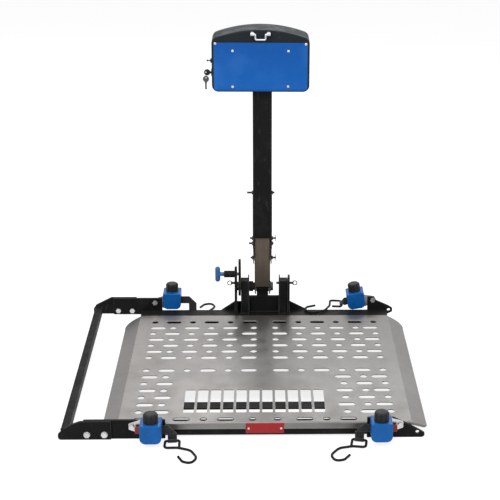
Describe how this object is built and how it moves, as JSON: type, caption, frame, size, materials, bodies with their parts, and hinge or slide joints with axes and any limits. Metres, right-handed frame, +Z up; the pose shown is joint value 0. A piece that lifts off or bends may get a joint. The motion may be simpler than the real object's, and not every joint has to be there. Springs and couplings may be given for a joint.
{
  "type": "mobility scooter lift",
  "caption": "Hitch-carried platform lift for a mobility scooter: a low perforated deck with tie-downs that folds up against a telescoping mast with a powered screw.",
  "frame": {"origin": "on the floor, under the axis of the mast and of the fold pivot", "axes": "+Z up, +Y towards the vehicle, +X to the right seen from the free end of the deck"},
  "size_m": [0.9989, 1.2483, 0.973],
  "materials": {
    "black_coat": "satin black powder coat",
    "bare_tube": "dull bare steel",
    "deck_grey": "grey textured coat",
    "head_dark": "satin dark grey",
    "sign_blue": "printed film, plain",
    "black_oxide": "black oxide",
    "zinc": "zinc plated",
    "chrome": "polished",
    "screw_steel": "oiled",
    "bronze": "machined",
    "alloy": "machined",
    "belt_rubber": "matte",
    "pad_white": "natural",
    "board_green": "lacquered",
    "cover_blue": "moulded",
    "knob_black": "moulded",
    "lever_red": "coated",
    "handle_blue": "moulded grip",
    "strap_black": "woven webbing",
    "hook_black": "dipped coating",
    "lens_red": "prismatic",
    "switch_black": "moulded",
    "spare_key_grey": "worn"
  },
  "bodies": {
    "mast": {"outer_mast": "black_coat", "hitch_bracket": "black_coat", "hitch_tube": "black_coat", "head_chassis": "head_dark", "head_cover": "head_dark", "sign_plate": "sign_blue", "sign_fasteners": "zinc", "cover_screws": "zinc", "lift_motor": "black_coat", "drive_belt": "belt_rubber", "screw_bearing": "alloy", "control_board": "board_green", "switch_bodies": "switch_black", "bail_ears": "chrome", "wear_pads": "pad_white", "adjuster_screws": "black_oxide"},
    "lift_screw": {"lift_screw": "screw_steel"},
    "motor_pulley": {"motor_pulley": "alloy"},
    "toggle": {"toggle_lever": "black_oxide"},
    "key": {"ignition_key": "switch_black"},
    "spare_key": {"spare_key": "spare_key_grey"},
    "bail": {"bail_handle": "chrome"},
    "carriage": {"inner_mast": "bare_tube", "drive_nut": "bronze", "lock_quadrant": "black_coat", "pivot_sleeve": "black_coat", "pivot_bushes": "bronze"},
    "platform": {"deck_sheet": "deck_grey", "back_rail": "black_coat", "front_rail": "black_coat", "under_frame": "black_coat", "window_bar": "black_coat", "reflector": "lens_red", "reflector_rivets": "zinc", "foot_bracket": "black_coat", "swing_frame": "black_coat", "pivot_bolt": "black_oxide", "plunger_barrel": "black_coat", "plunger_spring": "screw_steel", "corner_plates": "black_coat", "side_loop": "black_coat", "platform_bolts": "zinc", "tie_down_straps": "strap_black", "retractor_frames": "zinc", "retractor_covers": "cover_blue"},
    "plunger": {"lock_plunger": "handle_blue"},
    "right_pin": {"right_ring_pin": "black_oxide"},
    "left_pin": {"left_ring_pin": "black_oxide"},
    "spool_front_left": {"spool_front_left": "knob_black"},
    "lever_front_left": {"lever_front_left": "lever_red"},
    "hook_front_left": {"hook_front_left": "hook_black"},
    "spool_front_right": {"spool_front_right": "knob_black"},
    "lever_front_right": {"lever_front_right": "lever_red"},
    "hook_front_right": {"hook_front_right": "hook_black"},
    "spool_rear_left": {"spool_rear_left": "knob_black"},
    "lever_rear_left": {"lever_rear_left": "lever_red"},
    "hook_rear_left": {"hook_rear_left": "hook_black"},
    "spool_rear_right": {"spool_rear_right": "knob_black"},
    "lever_rear_right": {"lever_rear_right": "lever_red"},
    "hook_rear_right": {"hook_rear_right": "hook_black"}
  },
  "joints": [
    {"name": "lift_slide", "type": "slide", "parent": "mast", "child": "carriage", "axis": [0, 0, 1], "range_m": [-0.36, 0.06]},
    {"name": "lift_screw_turn", "type": "hinge", "parent": "mast", "child": "lift_screw", "pos_m": [0, 0, 0.8], "axis": [0, 0, 1], "continuous": true},
    {"name": "motor_turn", "type": "hinge", "parent": "mast", "child": "motor_pulley", "pos_m": [0.07, 0, 0.82], "axis": [0, 0, 1], "continuous": true},
    {"name": "up_down_toggle", "type": "hinge", "parent": "mast", "child": "toggle", "pos_m": [-0.1501, -0.02, 0.874], "axis": [0, 1, 0], "range_deg": [-11, 11], "stiffness_Nm_per_rad": 0.05},
    {"name": "key_turn", "type": "hinge", "parent": "mast", "child": "key", "pos_m": [-0.15, -0.02, 0.8376], "axis": [1, 0, 0], "range_deg": [0, 60]},
    {"name": "spare_key_swing", "type": "hinge", "parent": "key", "child": "spare_key", "pos_m": [-0.171, -0.02, 0.8376], "axis": [0, 1, 0], "range_deg": [-8, 25]},
    {"name": "bail_swing", "type": "hinge", "parent": "mast", "child": "bail", "pos_m": [-0.00525, -0.059, 0.961], "axis": [1, 0, 0], "range_deg": [-90, 0]},
    {"name": "platform_fold", "type": "hinge", "parent": "carriage", "child": "platform", "pos_m": [0, 0, 0.131], "axis": [1, 0, 0], "range_deg": [-90, 0]},
    {"name": "plunger_pull", "type": "slide", "parent": "platform", "child": "plunger", "axis": [-1, 0, 0], "range_m": [0, 0.012], "stiffness_N_per_m": 800, "springref_m": -0.003, "deforming": ["plunger_spring"]},
    {"name": "right_pin_pull", "type": "slide", "parent": "platform", "child": "right_pin", "axis": [1, 0, 0], "range_m": [0, 0.06]},
    {"name": "left_pin_pull", "type": "slide", "parent": "platform", "child": "left_pin", "axis": [-1, 0, 0], "range_m": [0, 0.06]},
    {"name": "spool_turn_front_left", "type": "hinge", "parent": "platform", "child": "spool_front_left", "pos_m": [-0.299, -0.806, 0.05], "axis": [0, 0, 1], "continuous": true},
    {"name": "release_front_left", "type": "hinge", "parent": "platform", "child": "lever_front_left", "pos_m": [-0.313, -0.7855, 0.0228], "axis": [0, 0, -1], "range_deg": [0, 12], "stiffness_Nm_per_rad": 0.3, "springref_deg": -2.86},
    {"name": "hook_swing_front_left", "type": "hinge", "parent": "platform", "child": "hook_front_left", "pos_m": [-0.243, -0.7997, 0.0056], "axis": [0.9945, 0.1045, 0], "range_deg": [-60, 75]},
    {"name": "spool_turn_front_right", "type": "hinge", "parent": "platform", "child": "spool_front_right", "pos_m": [0.319, -0.806, 0.05], "axis": [0, 0, 1], "continuous": true},
    {"name": "release_front_right", "type": "hinge", "parent": "platform", "child": "lever_front_right", "pos_m": [0.333, -0.7855, 0.0248], "axis": [0, 0, 1], "range_deg": [0, 12], "stiffness_Nm_per_rad": 0.3, "springref_deg": -2.86},
    {"name": "hook_swing_front_right", "type": "hinge", "parent": "platform", "child": "hook_front_right", "pos_m": [0.2615, -0.7997, 0.0056], "axis": [0.9715, -0.2368, 0], "range_deg": [-60, 75]},
    {"name": "spool_turn_rear_left", "type": "hinge", "parent": "platform", "child": "spool_rear_left", "pos_m": [-0.2945, 0.048, 0.08], "axis": [0, 0, 1], "continuous": true},
    {"name": "release_rear_left", "type": "hinge", "parent": "platform", "child": "lever_rear_left", "pos_m": [-0.3085, 0.0275, 0.0538], "axis": [0, 0, 1], "range_deg": [0, 12], "stiffness_Nm_per_rad": 0.3, "springref_deg": -2.86},
    {"name": "hook_swing_rear_left", "type": "hinge", "parent": "platform", "child": "hook_rear_left", "pos_m": [-0.228, 0.0417, 0.0056], "axis": [0.9945, -0.1045, 0], "range_deg": [-75, 60]},
    {"name": "spool_turn_rear_right", "type": "hinge", "parent": "platform", "child": "spool_rear_right", "pos_m": [0.31, 0.048, 0.043], "axis": [-0.1564, 0, 0.9877], "continuous": true},
    {"name": "release_rear_right", "type": "hinge", "parent": "platform", "child": "lever_rear_right", "pos_m": [0.32383, 0.0275, 0.04519], "axis": [0.1564, 0, -0.9877], "range_deg": [0, 12], "stiffness_Nm_per_rad": 0.3, "springref_deg": -2.86},
    {"name": "hook_swing_rear_right", "type": "hinge", "parent": "platform", "child": "hook_rear_right", "pos_m": [0.258, 0.035, 0.05397], "axis": [0, 0.9945, 0.1045], "range_deg": [0, 60]}
  ],
  "couplings": [
    {"joint": "lift_screw_turn", "follows": "lift_slide", "rad_per_m": 628.32},
    {"joint": "motor_turn", "follows": "lift_slide", "rad_per_m": 1885}
  ]
}
